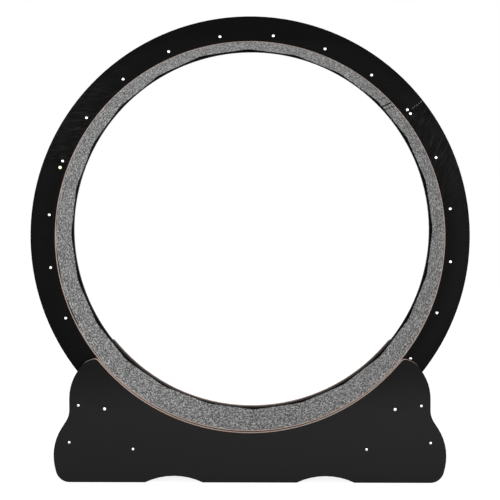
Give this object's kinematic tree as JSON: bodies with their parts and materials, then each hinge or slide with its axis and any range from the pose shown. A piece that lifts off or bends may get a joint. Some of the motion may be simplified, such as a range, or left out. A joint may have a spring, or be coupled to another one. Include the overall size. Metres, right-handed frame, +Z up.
{
  "type": "cat exercise wheel",
  "caption": "Open carpeted running wheel for a cat: a drum of flat boards between two ring rims that turns on grooved rollers in a low, lobed two-plate base.",
  "frame": {"origin": "on the floor, under the middle of the wheel", "axes": "+Z up; the wheel turns about +Y, and the front faces -Y; +X is to the right seen from the front"},
  "size_m": [0.9998, 0.4028, 1.0583],
  "materials": {
    "rim_board": "black wood-grain laminate on board, with bare pinkish-brown cut edges",
    "base_board": "smooth black laminate on board, with bare pinkish-brown cut edges",
    "deck_board": "black wood-grain laminate on board, with bare pinkish-brown cut edges",
    "rail_wood": "planed softwood, painted black",
    "carpet": "grey heathered low-pile carpet with black bound edges",
    "hook_tape": "black hook tape",
    "roller_nylon": "moulded nylon",
    "bright_steel": "bright zinc-plated steel"
  },
  "bodies": {
    "base": {"front_base_plate": "base_board", "rear_base_plate": "base_board", "left_end_board": "base_board", "right_end_board": "base_board", "left_cross_rail": "rail_wood", "right_cross_rail": "rail_wood", "front_left_bolt": "bright_steel", "front_left_spacer": "bright_steel", "front_left_nut": "bright_steel", "front_right_bolt": "bright_steel", "front_right_spacer": "bright_steel", "front_right_nut": "bright_steel", "rear_left_bolt": "bright_steel", "rear_left_spacer": "bright_steel", "rear_left_nut": "bright_steel", "rear_right_bolt": "bright_steel", "rear_right_spacer": "bright_steel", "rear_right_nut": "bright_steel"},
    "wheel": {"front_rim_segment_1": "rim_board", "front_rim_segment_2": "rim_board", "front_rim_segment_3": "rim_board", "rear_rim_segment_1": "rim_board", "rear_rim_segment_2": "rim_board", "rear_rim_segment_3": "rim_board", "deck_board_01": "deck_board", "deck_board_02": "deck_board", "deck_board_03": "deck_board", "deck_board_04": "deck_board", "deck_board_05": "deck_board", "deck_board_06": "deck_board", "deck_board_07": "deck_board", "deck_board_08": "deck_board", "deck_board_09": "deck_board", "deck_board_10": "deck_board", "deck_board_11": "deck_board", "deck_board_12": "deck_board", "deck_board_13": "deck_board", "deck_board_14": "deck_board", "deck_board_15": "deck_board", "deck_board_16": "deck_board", "deck_board_17": "deck_board", "deck_board_18": "deck_board", "deck_board_19": "deck_board", "deck_board_20": "deck_board", "deck_board_21": "deck_board", "deck_board_22": "deck_board", "deck_board_23": "deck_board", "deck_board_24": "deck_board", "hook_tape_front": "hook_tape", "hook_tape_rear": "hook_tape", "carpet_runner": "carpet"},
    "roller_front_left": {"front_left_roller": "roller_nylon", "front_left_bearing": "bright_steel"},
    "roller_front_right": {"front_right_roller": "roller_nylon", "front_right_bearing": "bright_steel"},
    "roller_rear_left": {"rear_left_roller": "roller_nylon", "rear_left_bearing": "bright_steel"},
    "roller_rear_right": {"rear_right_roller": "roller_nylon", "rear_right_bearing": "bright_steel"}
  },
  "joints": [
    {"name": "wheel_spin", "type": "hinge", "parent": "base", "child": "wheel", "pos_m": [0, 0, 0.5584], "axis": [0, 1, 0], "continuous": true},
    {"name": "front_left_roller_spin", "type": "hinge", "parent": "base", "child": "roller_front_left", "pos_m": [-0.33032, 0, 0.1689], "axis": [0, 1, 0], "continuous": true},
    {"name": "front_right_roller_spin", "type": "hinge", "parent": "base", "child": "roller_front_right", "pos_m": [0.33032, 0, 0.1689], "axis": [0, 1, 0], "continuous": true},
    {"name": "rear_left_roller_spin", "type": "hinge", "parent": "base", "child": "roller_rear_left", "pos_m": [-0.33032, 0, 0.1689], "axis": [0, 1, 0], "continuous": true},
    {"name": "rear_right_roller_spin", "type": "hinge", "parent": "base", "child": "roller_rear_right", "pos_m": [0.33032, 0, 0.1689], "axis": [0, 1, 0], "continuous": true}
  ],
  "couplings": [
    {"joint": "front_left_roller_spin", "follows": "wheel_spin", "ratio": -48.077},
    {"joint": "front_right_roller_spin", "follows": "wheel_spin", "ratio": -48.077},
    {"joint": "rear_left_roller_spin", "follows": "wheel_spin", "ratio": -48.077},
    {"joint": "rear_right_roller_spin", "follows": "wheel_spin", "ratio": -48.077}
  ]
}
